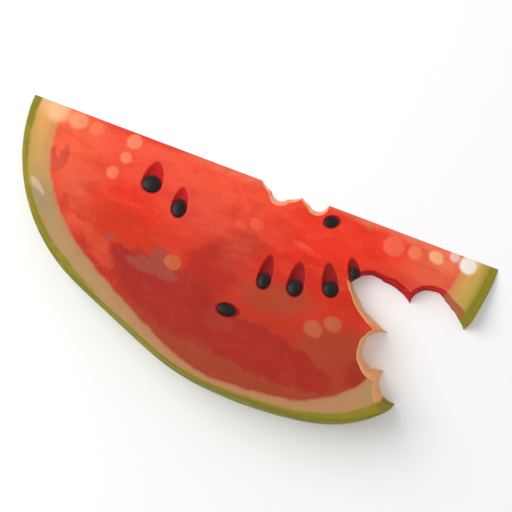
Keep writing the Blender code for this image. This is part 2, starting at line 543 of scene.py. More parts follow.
@dataclass(frozen=True)
class CutFace:
    """One of the wedge's two knife cuts: its tilt, and whether it looks down."""

    edge_y: float
    tilt: float
    looks_down: bool

    @property
    def towards_edge(self) -> Array:
        """Direction in the face, at right angles to the sharp edge and towards it."""
        return np.array([0.0, math.cos(self.tilt), -math.sin(self.tilt)])

    @property
    def outwards(self) -> Array:
        """Direction out of the melon, at right angles to the face."""
        normal = np.array([0.0, math.sin(self.tilt), math.cos(self.tilt)])
        return -normal if self.looks_down else normal

    def radius_of(self, points: Array) -> Array:
        """Distance of points on the face from the sharp edge."""
        return (self.edge_y - points[:, 1]) / math.cos(self.tilt)

    def lift(self, plan: Array, relief: Union[Array, float] = 0.0) -> Array:
        """Put ground plan points on the face and raise them out of it.

        Args:
            plan: Rows of x, y.
            relief: Height over the face, at right angles to it.

        Returns:
            Rows of x, y, z.
        """
        height = (self.edge_y - plan[:, 1]) * math.tan(self.tilt)
        away = -1.0 if self.looks_down else 1.0
        return np.column_stack([plan[:, 0], plan[:, 1], height + away * relief / math.cos(self.tilt)])


@dataclass(frozen=True)
class SeedPocket:
    """The hollow that a seed lies in: round at one end and drawn out to a narrower tip."""

    place: SeedPlace
    face: CutFace
    middle: Array
    margin: float = 0.0008
    extra_depth: float = 0.0005
    narrowing: float = 0.12

    @property
    def axes(self) -> Array:
        """Rows of the seed's own directions: across, towards its tip, and out of the face."""
        heading = math.radians(self.place.heading)
        along_edge = np.array([-1.0 if self.face.looks_down else 1.0, 0.0, 0.0])
        across = math.cos(heading) * along_edge + math.sin(heading) * self.face.towards_edge
        tip = -math.sin(heading) * along_edge + math.cos(heading) * self.face.towards_edge
        return np.array([across, tip, self.face.outwards])

    def nearness(self, points: Array) -> Pair:
        """Say how far out in the pocket's drop shape points lie.

        Behind the middle the drop is half an ellipse. Ahead of it the drop is half of a longer ellipse
        whose width shrinks with the square of the way to the tip.

        Args:
            points: Rows of x, y, z.

        Returns:
            Distance from the middle, 1 on the drop's rim, and the share of the way to the tip.
        """
        across, ahead, _ = self.axes @ (points - self.middle).T
        towards_tip = np.clip(ahead / self.place.pocket_reach, 0.0, 1.2)
        half_width = (self.place.width / 2.0 + self.margin) * (1.0 - self.narrowing * towards_tip**2)
        half_length = np.where(ahead > 0.0, self.place.pocket_reach, self.place.length / 2.0 + self.margin)
        return np.hypot(across / np.maximum(half_width, 0.0005), ahead / half_length), towards_tip

    def relief(self, points: Array) -> Array:
        """Give the hollow's height over the face, below zero inside it and a low lip round it."""
        distance, towards_tip = self.nearness(points)
        deepest = self.place.thickness / 2.0 + self.extra_depth
        hollow = deepest * smooth_step(1.05, 0.45, distance) * (1.0 - 0.75 * towards_tip)
        lip = 0.00008 * smooth_step(1.45, 1.12, distance) * smooth_step(0.95, 1.1, distance)
        return (0.0 if self.face.looks_down else lip) - hollow


@dataclass(frozen=True)
class Wedge:
    """The bitten wedge: its driving sizes, and the surfaces that close it."""

    melon: Melon
    edge_y: float
    angle: float
    edge_roundness: float = 0.00012
    rows: int = 34
    rim_rounding: float = 0.00035
    lattice_step: float = 0.0013
    fine_step: float = 0.00055

    big_bite_corners: tuple[Corner, ...] = (
        (0.1345, 0.0400), (0.1190, 0.0283), (0.1005, 0.0365), (0.0825, 0.0302),
        (0.0655, 0.0368), (0.0950, 0.0563), (0.1000, 0.0772), (0.1125, 0.0930),
    )
    big_bite_bulges: tuple[float, ...] = (0.0010, 0.0068, 0.0016, 0.0036, 0.0030, 0.0136, 0.0051)
    big_bite_leans: tuple[float, ...] = (0.40, 0.40, 0.34, 0.34, 0.22, 0.18, 0.22)
    big_bite_steps: tuple[int, ...] = (38, 48, 36, 36, 62, 66, 42)
    nibble_corners: tuple[Corner, ...] = (
        (-0.0035, -0.0002), (0.0046, 0.0046), (0.0148, 0.0056),
        (0.0222, 0.0018), (0.0275, 0.0044), (0.0378, 0.0005),
    )
    nibble_bulges: tuple[float, ...] = (0.0006, 0.0030, 0.0004, 0.0003, 0.0036)
    nibble_leans: tuple[float, ...] = (0.75, 0.75, 0.75, 0.80, 0.80)
    nibble_steps: tuple[int, ...] = (18, 24, 15, 12, 22)

    @property
    def tilts(self) -> Array:
        """Tilts of the half planes, a little closer together near the two cut faces."""
        share = np.linspace(0.0, 1.0, self.rows + 1)
        crowded = (1.0 - np.cos(math.pi * share)) / 2.0
        return self.angle * (0.72 * share + 0.28 * crowded)

    def nose(self) -> Array:
        """Give the sharp edge's distance from the melon's axis in each half plane.

        The edge is a small circle that touches both cut faces, so each half plane meets it where the
        ray from the axis enters the circle.

        Returns:
            The distance in each half plane.
        """
        middle = self.edge_roundness / math.sin(self.angle / 2.0)
        off_centre = self.tilts - self.angle / 2.0
        inside = np.maximum(self.edge_roundness**2 - (middle * np.sin(off_centre)) ** 2, 0.0)
        return middle * np.cos(off_centre) - np.sqrt(inside)

    def marks(self) -> tuple[list[ToothMark], list[ToothMark]]:
        """Return the tooth marks of the big bite, right to left, and of the nibble, left to right."""
        def chain(corners: Sequence, bulges: Sequence, leans: Sequence) -> list[ToothMark]:
            """Make a mark from each pair of neighbouring corners."""
            return [mark_from_arc(*ends) for ends in zip(corners, corners[1:], bulges, leans)]

        big = chain(self.big_bite_corners, self.big_bite_bulges, self.big_bite_leans)
        return big, chain(self.nibble_corners, self.nibble_bulges, self.nibble_leans)

    def skin_stretch(self, start: Array, end: Array, count: int) -> OutlineStretch:
        """Follow the rind from one angle to another, both given in each half plane."""
        share = np.linspace(0.0, 1.0, count + 1)
        turn = start[:, None] + (end - start)[:, None] * share
        return OutlineStretch(Stretch.SKIN, *self.melon.outline(turn))

    def bite_stretch(
        self, mark: ToothMark, start: Pair, end: Pair, kind: Stretch, count: int,
    ) -> OutlineStretch:
        """Follow a tooth mark's wall from one ridge to the next.

        Args:
            mark: The tooth mark.
            start: x and depth of the ridge that it starts at, in each half plane.
            end: The same for the ridge that it ends at.
            kind: Whether the wall there is painted as lit or as shaded.
            count: Steps along the wall.

        Returns:
            The stretch.
        """
        tilts = self.tilts[:, None]
        first = mark.turn_of(*start)
        sweep = np.mod(mark.turn_of(*end) - first, math.tau)
        turn = first[:, None] + sweep[:, None] * np.linspace(0.0, 1.0, count + 1)
        x, depth = mark.wall(turn, tilts)
        return OutlineStretch(kind, x, depth / np.cos(tilts))

    def edge_stretch(self, start: Array, end: Array, count: int) -> OutlineStretch:
        """Follow the sharp edge from one x to another."""
        x = start[:, None] + (end - start)[:, None] * np.linspace(0.0, 1.0, count + 1)
        return OutlineStretch(Stretch.SHARP_EDGE, x, np.broadcast_to(self.nose()[:, None], x.shape))

    def edge_crossing(self, mark: ToothMark, side: float) -> Array:
        """Give the x at which a tooth mark cuts the sharp edge, on its right (1) or left (-1) side."""
        nose, tilts = self.nose(), self.tilts
        reach = mark.radius_at(nose * np.sin(tilts))
        return mark.x + side * np.sqrt(reach**2 - (nose * np.cos(tilts) - mark.depth) ** 2)

    def outline(self) -> list[OutlineStretch]:
        """Go once round the wedge, from the left end along the rind, the big bite and the sharp edge.

        Returns:
            The stretches in order. Each ends where the next one starts.
        """
        tilts = self.tilts
        nose = self.nose()
        big, nibble = (chain[::-1] for chain in self.marks())
        left_end = math.pi - np.arcsin(nose / self.melon.reach(np.array(math.pi)))
        right_end = np.arcsin(nose / self.melon.reach(np.array(0.0)))
        low_exit = exit_through_rind(big[0], self.melon, tilts, math.radians(36.0), math.radians(46.0))
        top_exit = exit_through_rind(big[-1], self.melon, tilts, math.radians(20.0), math.radians(5.0))

        def on_ground_plan(turn: Array) -> Pair:
            """Give x and depth of the rind at an angle."""
            x, radius = self.melon.outline(turn)
            return x, radius * np.cos(tilts)

        def ridges_of(chain: list[ToothMark], corners: Sequence) -> list[Pair]:
            """Find the ridge between each pair of neighbouring marks."""
            return [ridge_between(*pair, tilts, near) for *pair, near in zip(chain, chain[1:], corners)]

        ridges = ridges_of(big, self.big_bite_corners[-2:0:-1])
        ridges = [on_ground_plan(low_exit), *ridges, on_ground_plan(top_exit)]
        # The bite's lower walls face the sharp edge and are painted lit; its upper walls face the rind and
        # are painted shaded.
        looks = (Stretch.LIT_BITE,) * 3 + (Stretch.SHADED_BITE,) * 4
        walls = zip(big, ridges, ridges[1:], looks, self.big_bite_steps[::-1])
        bitten = [self.bite_stretch(*wall) for wall in walls]
        right_x = self.edge_crossing(nibble[0], 1.0)
        left_x = self.edge_crossing(nibble[-1], -1.0)
        edge_depth = nose * np.cos(tilts)
        rims = [(right_x, edge_depth), *ridges_of(nibble, self.nibble_corners[-2:0:-1]), (left_x, edge_depth)]
        # The nibble's walls face the sharp edge and are painted lit.
        looks = (Stretch.LIT_BITE,) * len(nibble)
        walls = zip(nibble, rims, rims[1:], looks, self.nibble_steps[::-1])
        nibbled = [self.bite_stretch(*wall) for wall in walls]
        return [
            self.skin_stretch(left_end, low_exit, 300),
            *bitten,
            self.skin_stretch(top_exit, right_end, 34),
            self.edge_stretch(self.melon.outline(right_end)[0], right_x, 90),
            *nibbled,
            self.edge_stretch(left_x, self.melon.outline(left_end)[0], 120),
        ]


# --- Turning surfaces into meshes ---


def make_piece(
    name: str, points: Array, corners: Array, sizes: Array, attributes: dict[str, Array],
    material: bpy.types.Material,
) -> bpy.types.Object:
    """Put arrays into a mesh object that sits at the origin, shaded smooth.

    Args:
        name: The piece's name.
        points: Rows of x, y, z.
        corners: Point numbers of all the faces, one face after the other.
        sizes: How many corners each face has.
        attributes: Name to one number for each point.
        material: The piece's material.

    Returns:
        The new object.
    """
    mesh = bpy.data.meshes.new(name)
    mesh.vertices.add(len(points))
    mesh.vertices.foreach_set("co", points.astype(np.float32).ravel())
    mesh.loops.add(len(corners))
    mesh.loops.foreach_set("vertex_index", corners.astype(np.int32))
    mesh.polygons.add(len(sizes))
    mesh.polygons.foreach_set("loop_start", np.concatenate([[0], np.cumsum(sizes)[:-1]]).astype(np.int32))
    mesh.polygons.foreach_set("loop_total", sizes.astype(np.int32))
    mesh.update(calc_edges=True)
    mesh.validate()
    for label, values in attributes.items():
        carried = mesh.attributes.new(label, "FLOAT", "POINT")
        carried.data.foreach_set("value", values.astype(np.float32))
    mesh.shade_smooth()
    mesh.materials.append(material)
    piece = bpy.data.objects.new(name, mesh)
    bpy.context.scene.collection.objects.link(piece)
    return piece


def nearest_distance(points: Array, loop: Array) -> Array:
    """Give the distance in plan from each point to the nearest side of a closed loop.

    Args:
        points: Rows of x, y.
        loop: The loop's corners, in order.

    Returns:
        The distance of each point.
    """
    side = np.roll(loop, -1, axis=0) - loop
    length_squared = np.maximum((side**2).sum(axis=1), TINY**1.5)
    nearest = np.empty(len(points))
    for begin in range(0, len(points), CHUNK):
        chunk = points[begin : begin + CHUNK, None, :] - loop
        share = np.clip((chunk * side).sum(axis=2) / length_squared, 0.0, 1.0)
        gap = chunk - share[:, :, None] * side
        nearest[begin : begin + CHUNK] = np.sqrt((gap**2).sum(axis=2).min(axis=1))
    return nearest


def is_inside(points: Array, loop: Array) -> Array:
    """Say which points lie inside a closed loop: those with an odd number of sides straight above them.

    Args:
        points: Rows of x, y.
        loop: The loop's corners, in order.

    Returns:
        A truth value for each point.
    """
    ahead = np.roll(loop, -1, axis=0)
    inside = np.empty(len(points), dtype=bool)
    run = ahead[:, 0] - loop[:, 0]
    slope = (ahead[:, 1] - loop[:, 1]) / np.where(np.abs(run) < TINY, TINY, run)
    for begin in range(0, len(points), CHUNK):
        x, y = points[begin : begin + CHUNK, :, None].transpose(1, 0, 2)
        spans = (loop[:, 0] > x) != (ahead[:, 0] > x)
        above = loop[:, 1] + slope * (x - loop[:, 0]) > y
        inside[begin : begin + CHUNK] = (spans & above).sum(axis=1) % 2 == 1
    return inside


def triangular_lattice(low: Array, high: Array, step: float) -> Array:
    """Fill a box in plan with points at the corners of equal-sided triangles."""
    rows = np.arange(low[1], high[1], step * math.sqrt(3.0) / 2.0)
    x, y = np.meshgrid(np.arange(low[0], high[0], step), rows)
    x = x + np.where(np.arange(len(rows)) % 2 == 1, step / 2.0, 0.0)[:, None]
    return np.column_stack([x.ravel(), y.ravel()])


@dataclass(frozen=True)
class JuiceSpot:
    """A round bead of juice lying on the upper cut face."""

    x: float
    radius_from_edge: float
    size: float
    height: float = 0.0003


@dataclass
class WedgeSkin:
    """Builds the wedge's one closed mesh: its sides as a grid, and its two cut faces as meshed plans."""

    wedge: Wedge
    pockets: list[SeedPocket]
    spots: list[JuiceSpot]
    kinds: Array = field(init=False)
    x: Array = field(init=False)
    radius: Array = field(init=False)
    calm: Array = field(init=False)

    def __post_init__(self) -> None:
        """Join the outline's stretches into one grid of half planes by places."""
        stretches = self.wedge.outline()
        self.x = np.concatenate([stretch.x[:, :-1] for stretch in stretches], axis=1)
        self.radius = np.concatenate([stretch.radius[:, :-1] for stretch in stretches], axis=1)
        counts = np.array([stretch.x.shape[1] - 1 for stretch in stretches])
        self.kinds = np.repeat([stretch.kind.value for stretch in stretches], counts)
        joints = np.concatenate([[0], np.cumsum(counts)])
        from_joint = np.abs(np.arange(counts.sum())[:, None] - joints).min(axis=1)
        self.calm = smooth_step(1.0, 9.0, from_joint)

    def share_of(self, *wanted: Stretch, spread: int = 3) -> Array:
        """Give how far each place of the outline belongs to some kinds of stretch.

        Args:
            wanted: The kinds.
            spread: Places over which one kind fades into the next.

        Returns:
            A share from 0 to 1 for each place.
        """
        member = np.isin(self.kinds, [kind.value for kind in wanted]).astype(float)
        window = np.ones(2 * spread + 1) / (2 * spread + 1)
        padded = np.concatenate([member[-spread:], member, member[:spread]])
        return np.convolve(padded, window, mode="valid")

    def outward_normals(self) -> Pair:
        """Give the outline's outward direction in each half plane, as shares along x and the radius."""
        ahead = np.roll(self.x, -1, axis=1) - np.roll(self.x, 1, axis=1)
        away = np.roll(self.radius, -1, axis=1) - np.roll(self.radius, 1, axis=1)
        length = np.maximum(np.hypot(ahead, away), TINY)
        return -away / length, ahead / length

    def sides(self) -> Array:
        """Place the grid of the rind, the bites' walls and the sharp edge.

        The rind waves slowly in and out. The bites' walls have grooves and torn lumps, as two smooth
        noises that push points along x and y. Where a side meets a cut face it is rounded over.

        Returns:
            An array of half planes by places by x, y, z.
        """
        wedge = self.wedge
        thickness = self.radius * math.sin(wedge.angle)
        normal_x, normal_radius = self.outward_normals()
        on_skin = self.share_of(Stretch.SKIN)
        bitten = self.share_of(Stretch.LIT_BITE, Stretch.SHADED_BITE, spread=1)
        rounded = self.share_of(Stretch.SKIN, Stretch.LIT_BITE, Stretch.SHADED_BITE, spread=2)

        flat = self.positions(self.x, self.radius)
        push = layered_noise(flat, *RIND_WAVES).reshape(self.x.shape) * on_skin
        at_rim = np.zeros(wedge.rows + 1)
        at_rim[[0, -1]] = 1.0
        at_rim[[1, -2]] = 0.16
        thick = smooth_step(0.0, 0.012, thickness)
        push -= wedge.rim_rounding * at_rim[:, None] * rounded * thick * self.calm
        x = self.x + push * normal_x
        radius = self.radius + push * normal_radius

        points = self.positions(x, radius)
        torn = np.tile(bitten * (0.4 + 0.6 * self.calm), wedge.rows + 1)
        torn = torn * smooth_step(0.0004, 0.006, thickness.ravel())
        grain = flat * np.array([1.0, 1.0, 0.45])
        for axis, layers in enumerate((TORN_ALONG, TORN_ACROSS)):
            points[:, axis] += torn * layered_noise(grain, *layers)
        return points.reshape(*self.x.shape, 3)

    def positions(self, x: Array, radius: Array) -> Array:
        """Turn a grid of x and radius into rows of x, y, z."""
        tilts = self.wedge.tilts[:, None]
        y = self.wedge.edge_y - radius * np.cos(tilts)
        return np.column_stack([x.ravel(), y.ravel(), (radius * np.sin(tilts)).ravel()])

    def face_relief(self, face: CutFace, plan: Array, from_rim: Array) -> Array:
        """Give a cut face's height over its plane.

        It is the sum of slow waves left by the knife, the seeds' pockets, beads of juice and the
        rounding towards the rim. Waves and rounding shrink to nothing where the wedge is thin.

        Args:
            face: The cut face.
            plan: Rows of x, y.
            from_rim: Distance of each point from the face's rim.

        Returns:
            The height of each point.
        """
        points = face.lift(plan)
        radius = face.radius_of(points)
        thick = smooth_step(0.002, 0.030, radius)
        inland = smooth_step(0.0, 0.004, from_rim)
        relief = -0.8 * self.wedge.rim_rounding * smooth_step(0.0, 0.040, radius)
        relief = relief * np.exp(-((from_rim / 0.0005) ** 2))
        if not face.looks_down:
            relief += layered_noise(points, *KNIFE_WAVES) * thick * inland
            for spot in self.spots:
                out = np.hypot(points[:, 0] - spot.x, radius - spot.radius_from_edge) / spot.size
                relief += spot.height * smooth_step(1.0, 0.35, out) * inland
        for pocket in self.pockets:
            if pocket.face is face:
                relief += pocket.relief(points)
        return relief

    def mesh_face(self, face: CutFace, rim: Array) -> Pair:
        """Fill a cut face inside its rim.

        Rings that follow the rim, a lattice, and a finer lattice round the pockets are joined into
        triangles that keep to the rim.

        Args:
            face: The cut face.
            rim: The rim's points, counter-clockwise from above, as rows of x, y, z.

        Returns:
            The points inside the rim, and triangles that count the rim's points first.
        """
        loop = rim[:, :2]
        ahead = np.roll(loop, -1, axis=0) - np.roll(loop, 1, axis=0)
        inwards = np.column_stack([-ahead[:, 1], ahead[:, 0]]) / np.linalg.norm(ahead, axis=1)[:, None]
        step = self.wedge.lattice_step * (1.6 if face.looks_down else 1.0)

        def clear(points: Array, distance: float) -> Array:
            """Keep the points inside the rim that are further than a distance from it."""
            points = points[is_inside(points, loop)]
            return points[nearest_distance(points, loop) > distance]

        taken = [clear(loop + inwards * offset, 0.93 * offset) for offset in (0.00045, 0.0010)]
        lattice = clear(triangular_lattice(loop.min(axis=0), loop.max(axis=0), step), 0.0010 + 0.55 * step)
        own = [pocket for pocket in self.pockets if pocket.face is face]
        nearest = np.min([pocket.nearness(face.lift(lattice))[0] for pocket in own], axis=0)
        taken.append(lattice[nearest >= 1.7])
        for pocket in own:
            middle = pocket.middle[:2]
            fine = triangular_lattice(middle - FINE_REACH, middle + FINE_REACH, self.wedge.fine_step)
            taken.append(clear(fine[pocket.nearness(face.lift(fine))[0] < 1.62], 0.0012))
        plan = np.concatenate(taken)
        plan = plan[np.unique(np.round(plan / 0.00022), axis=0, return_index=True)[1]]

        everything = np.concatenate([loop, plan])
        rim_numbers = np.arange(len(loop))
        kept_sides = np.column_stack([rim_numbers, np.roll(rim_numbers, -1)])
        result = delaunay_2d_cdt((everything / MM).tolist(), kept_sides.tolist(), [], 0, 1e-6, True)
        origin = np.array([sources[0] for sources in result[3]])
        triangles = origin[np.array(result[2])]
        triangles = triangles[is_inside(everything[triangles].mean(axis=1), loop)]
        from_rim = nearest_distance(plan, loop)
        inner = face.lift(plan, self.face_relief(face, plan, from_rim))
        return inner, triangles[:, ::-1] if face.looks_down else triangles

    def build(self, name: str, material: bpy.types.Material) -> bpy.types.Object:
        """Join the sides and the two cut faces into one closed piece.

        Args:
            name: The piece's name.
            material: The melon's material.

        Returns:
            The new object.
        """
        wedge = self.wedge
        lower = next(pocket.face for pocket in self.pockets if pocket.face.looks_down)
        upper = next(pocket.face for pocket in self.pockets if not pocket.face.looks_down)
        sides = self.sides()
        rows, places = sides.shape[:2]
        for row, face in ((0, lower), (-1, upper)):
            plan = sides[row, :, :2].copy()
            sides[row] = face.lift(plan, self.face_relief(face, plan, np.zeros(places)))

        grid = np.arange(rows * places).reshape(rows, places)
        beside = np.roll(grid, -1, axis=1)
        quads = np.stack([grid[:-1], beside[:-1], beside[1:], grid[1:]], axis=2).reshape(-1, 4)
        below, below_triangles = self.mesh_face(lower, sides[0])
        above, above_triangles = self.mesh_face(upper, sides[-1])
        first_below = rows * places
        first_above = first_below + len(below)
        numbers_below = np.concatenate([grid[0], first_below + np.arange(len(below))])
        numbers_above = np.concatenate([grid[-1], first_above + np.arange(len(above))])
        triangles = np.concatenate([numbers_below[below_triangles], numbers_above[above_triangles]])
        points = np.concatenate([sides.reshape(-1, 3), below, above])
        corners = np.concatenate([quads.ravel(), triangles.ravel()])
        sizes = np.repeat([4, 3], [len(quads), len(triangles)])
        LOG.info("%s: %d points, %d faces", name, len(points), len(sizes))
        carried = self.attributes(points, places, rows, first_above)
        return make_piece(name, points, corners, sizes, carried, material)

    def attributes(self, points: Array, places: int, rows: int, first_above: int) -> dict[str, Array]:
        """Work out the numbers that the material reads at each point.

        Args:
            points: All of the wedge's points: the sides' grid, the lower face, then the upper face.
            places: Places round the outline.
            rows: Half planes.
            first_above: Number of the upper face's first inner point.

        Returns:
            Name to one number for each point.
        """
        wedge = self.wedge
        radius = np.hypot(wedge.edge_y - points[:, 1], points[:, 2])
        on_sides = rows * places

        def on_walls(*kinds: Stretch) -> Array:
            """Mark the points of some kinds of stretch, and leave the cut faces at zero."""
            marked = np.zeros(len(points))
            marked[:on_sides] = np.tile(self.share_of(*kinds, spread=1), rows)
            return marked

        pocket = np.zeros(len(points))
        for hollow in self.pockets:
            near = np.abs((points - hollow.middle) @ hollow.face.outwards) < 0.004
            distance, _ = hollow.nearness(points)
            pocket = np.maximum(pocket, near * smooth_step(1.09, 0.91, distance))
        upper_face = np.zeros(len(points))
        upper_face[on_sides - places : on_sides] = 1.0
        upper_face[first_above:] = 1.0
        skin_depth = wedge.melon.skin_depth(points[:, 0], radius)
        return {
            "skin_depth": skin_depth,
            "under_rind": skin_depth - wedge.melon.width_at(points[:, 0], radius, wedge.melon.rind_widths),
            "olive_line": wedge.melon.width_at(points[:, 0], radius, wedge.melon.olive_widths) - skin_depth,
            "upper_face": upper_face,
            # The walls painted as lit, and the walls painted as shaded.
            "pale_wall": on_walls(Stretch.LIT_BITE),
            "shaded_wall": on_walls(Stretch.SHADED_BITE),
            "rind_side": on_walls(Stretch.SKIN),
            "pocket": pocket,
        }


# --- Seeds ---


@dataclass(frozen=True)
class Seed:
    """One melon seed: a flattened drop with a thin edge band, a blunt end and a narrower tip."""

    pocket: SeedPocket
    around: int = 56
    along: int = 34
    tip_narrowing: float = 0.34
    edge_band: float = 0.05

    def build(self, name: str, material: bpy.types.Material) -> bpy.types.Object:
        """Turn the drop into a closed piece.

        A point's place along the seed is the negative cosine of its latitude. Its half width is the
        sine, less a share that grows with the square of the way to the tip. The thickness follows the
        same sine, with the longitude's sine to a power a little over one, which leaves a thin edge.

        Args:
            name: The piece's name.
            material: The seed coat.

        Returns:
            The new object.
        """
        place = self.pocket.place
        latitude = np.linspace(0.0, math.pi, self.along + 1)[1:-1, None]
        longitude = np.linspace(0.0, math.tau, self.around, endpoint=False)[None, :]
        ahead = -np.cos(latitude)
        slim = 1.0 - self.tip_narrowing * np.maximum(ahead, 0.0) ** 2
        across_share = np.sin(latitude) * slim * np.cos(longitude)
        rise = np.sign(np.sin(longitude)) * np.abs(np.sin(longitude)) ** 1.2
        band = 1.0 + self.edge_band * np.abs(np.cos(longitude)) ** 10
        across = across_share * band * place.width / 2.0
        along = np.broadcast_to(ahead, across.shape) * place.length / 2.0
        up = np.sin(latitude) ** 0.85 * slim * rise * place.thickness / 2.0
        local = np.stack([across, along, up], axis=2).reshape(-1, 3)
        poles = np.array([[0.0, -place.length / 2.0, 0.0], [0.0, place.length / 2.0, 0.0]])
        local = np.concatenate([local, poles])
        local *= (1.0 + 0.018 * lattice_noise(local + self.pocket.middle, 0.0016, 31))[:, None]
        points = self.pocket.middle + local @ self.pocket.axes

        rings, around = self.along - 1, self.around
        grid = np.arange(rings * around).reshape(rings, around)
        beside = np.roll(grid, -1, axis=1)
        quads = np.stack([grid[:-1], grid[1:], beside[1:], beside[:-1]], axis=2).reshape(-1, 4)
        blunt, tip = rings * around, rings * around + 1
        caps = np.concatenate([
            np.column_stack([np.full(around, blunt), grid[0], beside[0]]),
            np.column_stack([np.full(around, tip), beside[-1], grid[-1]]),
        ])
        corners = np.concatenate([quads.ravel(), caps.ravel()])
        sizes = np.repeat([4, 3], [len(quads), len(caps)])
        towards_tip = (local[:, 1] / place.length + 0.5).clip(0.0, 1.0)
        return make_piece(name, points, corners, sizes, {"towards_tip": towards_tip}, material)


# --- Finishes ---


@dataclass(frozen=True)
class Patch:
    """A soft oval of another colour in the flesh of the upper cut face.

    Its place and its half sizes are in millimetres: along the sharp edge, and out from it. The turn is in
    degrees.
    """

    colour: Colour
    along: float
    out: float
    half_along: float
    half_out: float
    turn: float = 0.0
    strength: float = 1.0
    softness: float = 0.6


def patches(*rows: tuple[float, ...]) -> list[Patch]:
    """Make a patch from each row: red, green and blue as shown, then the rest in a patch's order."""
    return [Patch(display_colour(*row[:3]), *row[3:]) for row in rows]


# Patches on the upper cut face's flesh. The orange-red and vermilion ones are its own tone. The dark crimson
# and brownish ones, low in the middle and near the rind, are painted shade. The pale bands along the sharp
# edge and the greyish mauve spots beside the dark patch are painted highlights.
FLESH_TONE_SHADE_AND_GLINTS = patches(
    (246, 58, 40, 48, 19, 48, 22, -4, 0.85, 0.9),
    (228, 82, 58, 10, 29, 16, 8, -6, 0.6, 1.1),
    (252, 90, 60, -12, 10, 34, 11, 0, 0.65, 0.9),
    (252, 122, 94, -17, 0.5, 32, 4, 0, 0.7, 1.2),
    (240, 104, 74, 110, 17, 19, 17, 0, 0.85, 0.9),
    (252, 138, 108, 88, 0.4, 44, 3.8, 0, 0.6, 1.3),
    (252, 134, 102, 111, 7, 8, 7, 0, 0.7, 1),
    (232, 76, 54, 82, 28, 16, 7, -8, 0.6, 1.1),
    (238, 64, 48, -80, 0.6, 36, 3, 0, 0.7, 0.8),
    (252, 104, 70, -113, 17, 18, 25, 0, 0.9, 0.8),
    (236, 94, 66, -94, 47, 16, 20, -12, 0.8, 0.8),
    (198, 80, 60, -117, 33, 2.6, 8, -20, 0.75, 0.3),
    (204, 78, 58, -111.6, 30, 2.4, 9, 4, 0.7, 0.4),
    (224, 98, 72, -98.8, 45, 6, 5, -20, 0.5, 0.5),
    (212, 62, 42, -88, 41, 9, 3.6, 6, 0.45, 0.6),
    (204, 62, 44, -101, 55, 4, 7, -30, 0.6, 0.5),
    (226, 82, 58, -91, 53, 10, 2.8, 18, 0.6, 0.4),
    (203, 62, 42, -89, 58.6, 9, 2.2, 14, 0.65, 0.4),
    (240, 54, 34, -68, 47, 20, 14, 24, 0.7, 0.9),
    (210, 62, 34, -66, 57, 24, 12, 12, 0.75, 0.8),
    (236, 86, 68, -26, 31, 20, 14, 8, 0.7, 0.9),
    (184, 52, 42, -11, 60, 16, 19, 20, 0.85, 0.7),
    (200, 75, 55, 1, 47, 10, 12, 30, 0.75, 0.8),
    (178, 60, 44, 3, 37, 13, 4, 6, 0.45, 0.9),
    (214, 48, 32, 40, 45, 38, 12, -6, 0.6, 0.9),
    (178, 76, 52, 27, 63, 20, 9, -8, 0.85, 0.9),
    (176, 74, 50, 66, 79, 20, 14, -30, 0.85, 0.8),
    (208, 52, 36, 67, 56, 11, 12, 0, 0.6, 0.8),
    (158, 52, 40, 84, 86, 7, 9, 0, 0.7, 0.8),
    (222, 82, 54, -77, 68, 11, 4.4, 22, 0.65, 0.5),
    (224, 84, 56, -70, 75.5, 9, 4.6, 28, 0.65, 0.5),
    (173, 50, 42, -57, 71.5, 12, 5.5, 16, 0.9, 0.4),
    (174, 52, 44, -26, 84, 40, 16, 16, 0.95, 0.35),
    (174, 52, 43, 27, 95, 46, 12.5, 6, 0.95, 0.16),
    (174, 66, 52, 1, 87, 9, 5, 0, 0.6, 0.8),
    (171, 80, 68, -42, 72, 15, 4.2, 6, 0.9, 0.4),
    (171, 80, 68, -41, 65.5, 5, 7, -16, 0.85, 0.4),
    (166, 88, 78, -70.9, 62.8, 2.6, 1.6, 20, 0.8, 0.4),
    (196, 66, 44, -10.9, 21.8, 2.6, 5.6, 8, 0.35, 0.9),
    (196, 66, 44, -0.2, 18.9, 2.4, 4.6, 8, 0.35, 0.9),
)

GLINTS = patches(
    (255, 196, 150, -124.5, 4.5, 6.4, 6.8, 20, 0.85, 0.9),
    (255, 160, 118, -112.4, 6, 5.6, 5, 0, 0.85, 0.5),
    (255, 128, 92, -101, 6.7, 4, 4, 0, 0.85, 0.55),
    (255, 142, 102, -78.3, 6.1, 4.2, 4.3, 0, 0.95, 0.45),
    (255, 138, 98, -79.1, 16.9, 3.2, 3.2, 0, 0.95, 0.55),
    (255, 130, 88, -83.2, 27.7, 3.5, 3.5, 0, 0.9, 0.55),
    (246, 96, 72, -5, 29.5, 3.2, 3.2, 0, 0.6, 0.7),
    (250, 104, 80, 2.9, 26.5, 3.8, 3.8, 0, 0.7, 0.6),
    (205, 106, 66, -33.1, 65, 5, 4, 28, 0.95, 0.3),
    (202, 106, 70, 52.8, 72.2, 5.2, 4.7, 20, 0.9, 0.45),
    (202, 106, 70, 62.3, 65.8, 5, 4.5, 0, 0.85, 0.5),
    (242, 116, 94, 32.1, 28.8, 5, 1.7, 10, 0.45, 1.3),
    (252, 112, 84, 80, 9.7, 6, 5.8, 0, 0.9, 0.4),
    (255, 128, 92, 93, 9.1, 4.4, 4.4, 0, 0.95, 0.4),
    (255, 184, 134, 105, 7.3, 4.8, 3.4, 24, 0.95, 0.5),
    (255, 208, 194, 115.4, 3, 2.8, 3, 0, 0.9, 0.7),
    (255, 243, 234, 123.8, 5, 5, 5, 0, 1, 0.45),
)

# A painted glint along the rind near the thin end, and a painted shade just beyond it, further from the sharp
# edge.
RIND_GLINT_AND_SHADE = patches(
    (216, 186, 154, -118.8, 51, 2, 6.8, -50, 0.9, 0.4),
    (168, 150, 116, -113, 58.5, 2.6, 10, -52, 0.8, 0.5),
)


